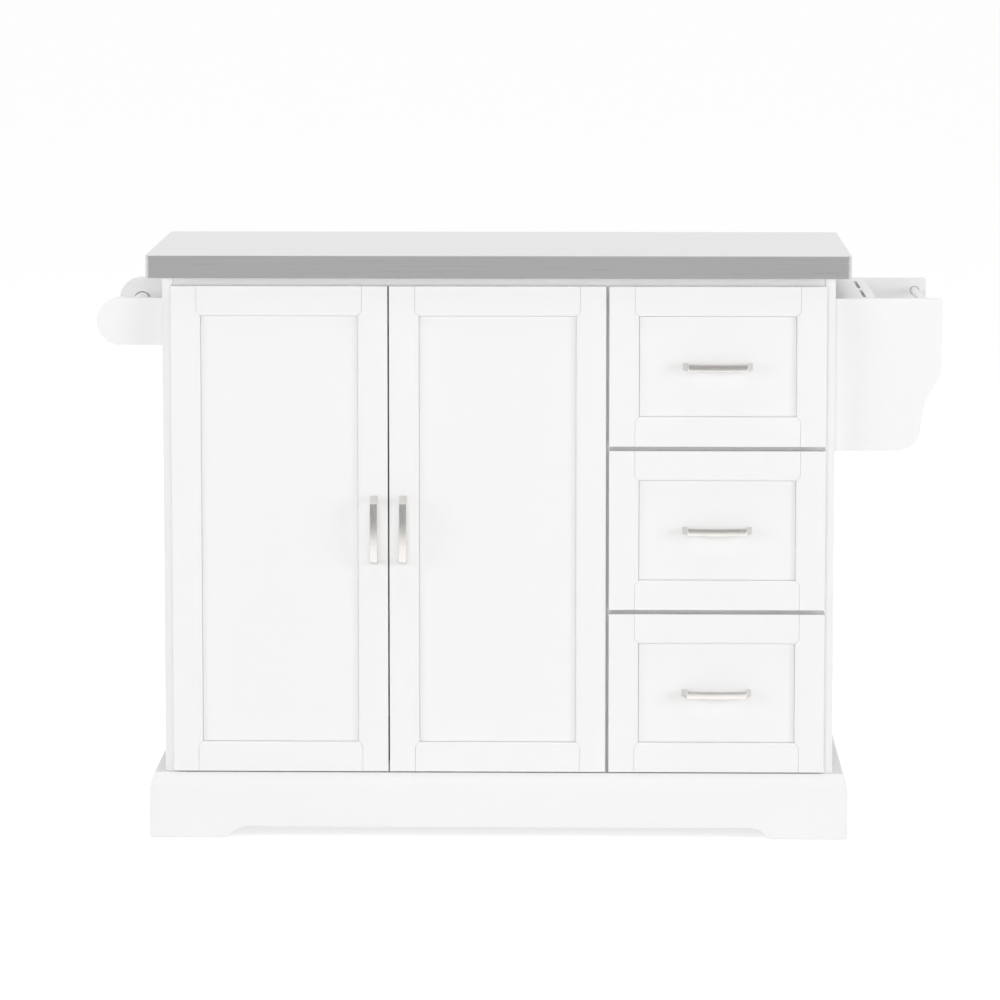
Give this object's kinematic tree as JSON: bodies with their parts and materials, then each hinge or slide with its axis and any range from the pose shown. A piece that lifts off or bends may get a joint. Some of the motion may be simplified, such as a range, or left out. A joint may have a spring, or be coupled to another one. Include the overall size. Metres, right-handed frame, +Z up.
{
  "type": "drop leaf kitchen island",
  "caption": "Kitchen island cabinet with a steel-clad worktop and rear drop leaf, doors, drawers, a towel bar, and a spice and knife rack.",
  "frame": {"origin": "on the floor under the middle of the island's bounding box, racks, pulls and hanging leaf included", "axes": "+X to the right along the front, +Y to the back where the leaf hangs, +Z up"},
  "size_m": [1.318, 0.53, 0.92],
  "materials": {
    "white_lacquer": "white satin lacquer on board",
    "white_melamine": "matt white melamine on board",
    "raw_wood": "plain softwood",
    "brushed_steel": "brushed stainless steel sheet",
    "satin_nickel": "satin nickel plate",
    "zinc_steel": "zinc-plated steel",
    "dark_plastic": "moulded nylon glide"
  },
  "bodies": {
    "cabinet": {"cabinet_back": "white_lacquer", "cabinet_floor": "white_melamine", "corner_blocks": "raw_wood", "drawer_dividers": "white_melamine", "foot_glides": "dark_plastic", "hinge_arms": "zinc_steel", "leaf_hinge_fixed": "zinc_steel", "leaf_hinge_pins": "zinc_steel", "partition": "white_melamine", "plinth_front": "white_lacquer", "plinth_left": "white_lacquer", "plinth_rear": "white_lacquer", "plinth_right": "white_lacquer", "rack_divider": "white_lacquer", "rack_lid": "white_lacquer", "rack_panel_front": "white_lacquer", "rack_panel_rear": "white_lacquer", "rack_rail": "white_lacquer", "rack_shelf": "white_lacquer", "runner_channels": "zinc_steel", "shelf": "white_melamine", "shelf_pins": "satin_nickel", "side_panel_left": "white_lacquer", "side_panel_right": "white_lacquer", "stay_brackets": "zinc_steel", "top_stretchers": "white_lacquer", "towel_bar": "white_lacquer", "towel_bracket_front": "white_lacquer", "towel_bracket_rear": "white_lacquer", "worktop_core": "white_melamine", "worktop_steel": "brushed_steel"},
    "door_left": {"door_left_frame": "white_lacquer", "door_left_hinge_cups": "zinc_steel", "door_left_panel": "white_lacquer", "door_left_pull": "satin_nickel"},
    "door_right": {"door_right_frame": "white_lacquer", "door_right_hinge_cups": "zinc_steel", "door_right_panel": "white_lacquer", "door_right_pull": "satin_nickel"},
    "drawer_top": {"drawer_top_box": "white_melamine", "drawer_top_frame": "white_lacquer", "drawer_top_panel": "white_lacquer", "drawer_top_pull": "satin_nickel", "drawer_top_runners": "zinc_steel"},
    "drawer_middle": {"drawer_middle_box": "white_melamine", "drawer_middle_frame": "white_lacquer", "drawer_middle_panel": "white_lacquer", "drawer_middle_pull": "satin_nickel", "drawer_middle_runners": "zinc_steel"},
    "drawer_bottom": {"drawer_bottom_box": "white_melamine", "drawer_bottom_frame": "white_lacquer", "drawer_bottom_panel": "white_lacquer", "drawer_bottom_pull": "satin_nickel", "drawer_bottom_runners": "zinc_steel"},
    "drop_leaf": {"leaf_core": "white_melamine", "leaf_steel": "brushed_steel", "leaf_hinge_moving": "zinc_steel", "stay_channels": "zinc_steel"},
    "left_stay": {"stay_left": "zinc_steel"},
    "right_stay": {"stay_right": "zinc_steel"}
  },
  "joints": [
    {"name": "door_left_hinge", "type": "hinge", "parent": "cabinet", "child": "door_left", "pos_m": [-0.5415, -0.233, 0.489], "axis": [0, 0, -1], "range_deg": [0, 105]},
    {"name": "door_right_hinge", "type": "hinge", "parent": "cabinet", "child": "door_right", "pos_m": [0.13617, -0.233, 0.489], "axis": [0, 0, 1], "range_deg": [0, 90]},
    {"name": "drawer_top_slide", "type": "slide", "parent": "cabinet", "child": "drawer_top", "axis": [0, -1, 0], "range_m": [0, 0.3]},
    {"name": "drawer_middle_slide", "type": "slide", "parent": "cabinet", "child": "drawer_middle", "axis": [0, -1, 0], "range_m": [0, 0.3]},
    {"name": "drawer_bottom_slide", "type": "slide", "parent": "cabinet", "child": "drawer_bottom", "axis": [0, -1, 0], "range_m": [0, 0.3]},
    {"name": "leaf_hinge", "type": "hinge", "parent": "cabinet", "child": "drop_leaf", "pos_m": [-0.0315, 0.225, 0.88], "axis": [1, 0, 0], "range_deg": [0, 90]},
    {"name": "stay_left_pivot", "type": "hinge", "parent": "cabinet", "child": "left_stay", "pos_m": [-0.3615, 0.22, 0.79], "axis": [1, 0, 0], "range_deg": [0, 120]},
    {"name": "stay_right_pivot", "type": "hinge", "parent": "cabinet", "child": "right_stay", "pos_m": [0.2985, 0.22, 0.79], "axis": [1, 0, 0], "range_deg": [0, 120]}
  ],
  "couplings": [
    {"joint": "stay_left_pivot", "follows": "leaf_hinge", "ratio": 1.3333},
    {"joint": "stay_right_pivot", "follows": "leaf_hinge", "ratio": 1.3333}
  ]
}
